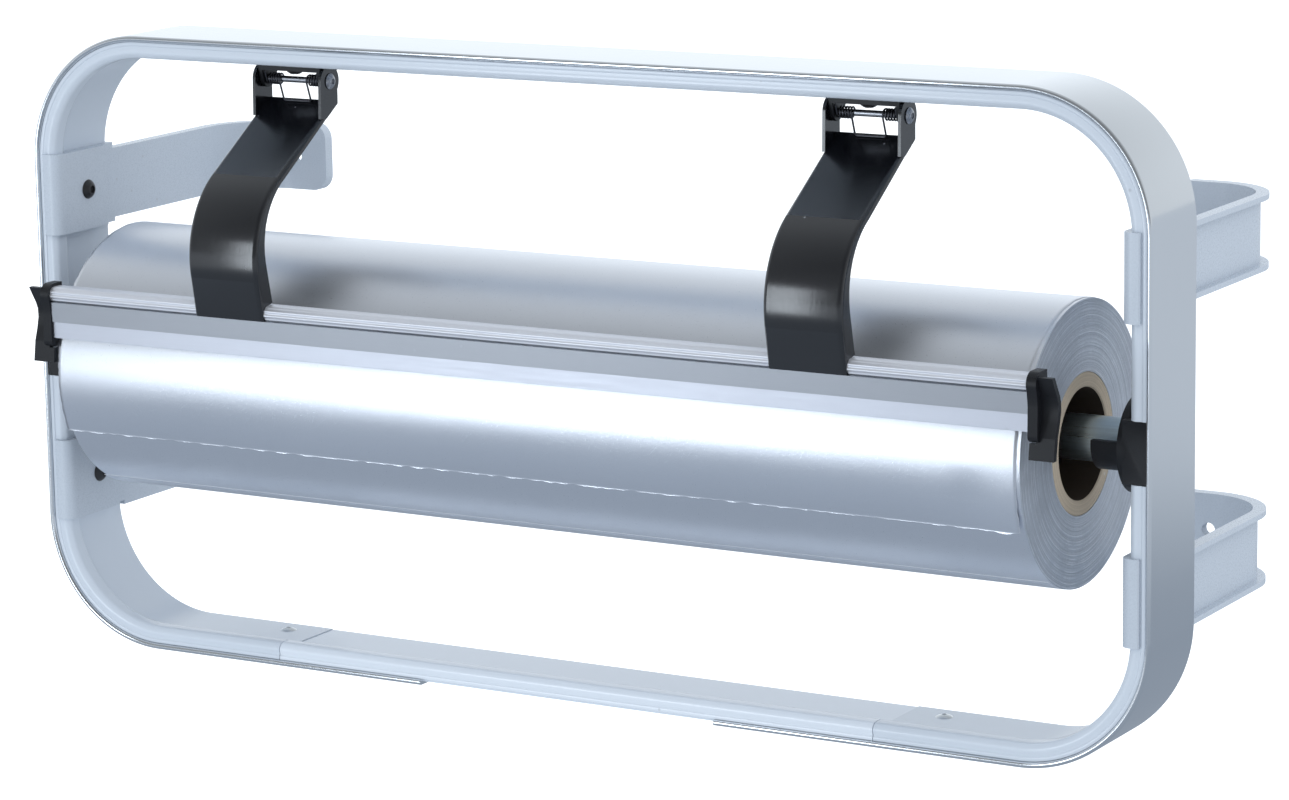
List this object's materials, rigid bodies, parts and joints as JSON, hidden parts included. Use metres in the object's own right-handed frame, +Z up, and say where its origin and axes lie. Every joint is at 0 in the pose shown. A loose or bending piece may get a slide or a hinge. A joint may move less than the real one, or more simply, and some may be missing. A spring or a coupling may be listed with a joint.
{
  "type": "roll dispenser",
  "caption": "Wall-mounted roll dispenser: open frame on four brackets, a roll on a spindle tube, and a sprung swing-up cutter bar on curved arms.",
  "frame": {"origin": "centre of the rectangle of the four wall screws, on the wall", "axes": "+X to the user's right along the roll, +Y into the wall, +Z up"},
  "size_m": [0.584, 0.2123, 0.298],
  "materials": {
    "polished_band": "polished flat band with a drawn grain",
    "grey_profile": "satin light grey extrusion",
    "grey_joiner": "satin light grey extrusion",
    "grey_bracket": "satin light grey moulding",
    "rivet_metal": "plain domed rivet",
    "black_bolt": "blackened steel",
    "black_plastic": "satin black moulding",
    "black_hinge": "black lacquer",
    "black_lacquer": "satin black lacquer on sheet",
    "pin_steel": "turned steel",
    "spring_wire": "oiled spring wire",
    "screw_steel": "zinc plated",
    "zinc_tube": "zinc plated tube",
    "foil": "bright side of rolled foil",
    "cardboard": "spiral-wound cardboard tube",
    "bar_aluminium": "extruded, anodised",
    "blade_metal": "bright strip"
  },
  "bodies": {
    "frame": {"outer_band": "polished_band", "frame_profile": "grey_profile", "bottom_joiner": "grey_joiner", "joiner_rivets": "rivet_metal", "bracket_top_left": "grey_bracket", "bracket_top_right": "grey_bracket", "bracket_bottom_left": "grey_bracket", "bracket_bottom_right": "grey_bracket", "bracket_bolts": "black_bolt", "bearing_left": "black_plastic", "bearing_right": "black_plastic", "hinge_bracket_left": "black_hinge", "hinge_bracket_right": "black_hinge", "hinge_bolts": "black_bolt", "hinge_pin_left": "pin_steel", "hinge_pin_right": "pin_steel"},
    "cutter": {"arm_left": "black_lacquer", "arm_right": "black_lacquer", "arm_screws": "screw_steel", "torsion_spring_left": "spring_wire", "torsion_spring_right": "spring_wire", "cutter_bar": "bar_aluminium", "tear_blade": "blade_metal", "end_cap_left": "black_plastic", "end_cap_right": "black_plastic"},
    "spindle": {"spindle_tube": "zinc_tube"},
    "roll": {"foil_roll": "foil", "cardboard_core": "cardboard", "core_adapter_left": "black_plastic", "core_adapter_right": "black_plastic"}
  },
  "joints": [
    {"name": "cutter_swing", "type": "hinge", "parent": "frame", "child": "cutter", "pos_m": [0, -0.148, 0.1328], "axis": [-1, 0, 0], "range_deg": [0, 85], "stiffness_Nm_per_rad": 0.15, "springref_deg": -85.94, "deforming": ["torsion_spring_left", "torsion_spring_right"]},
    {"name": "spindle_spin", "type": "hinge", "parent": "frame", "child": "spindle", "pos_m": [0, -0.143, -0.0025], "axis": [1, 0, 0], "continuous": true},
    {"name": "roll_spin", "type": "hinge", "parent": "frame", "child": "roll", "pos_m": [0, -0.143, -0.0055], "axis": [1, 0, 0], "continuous": true}
  ]
}
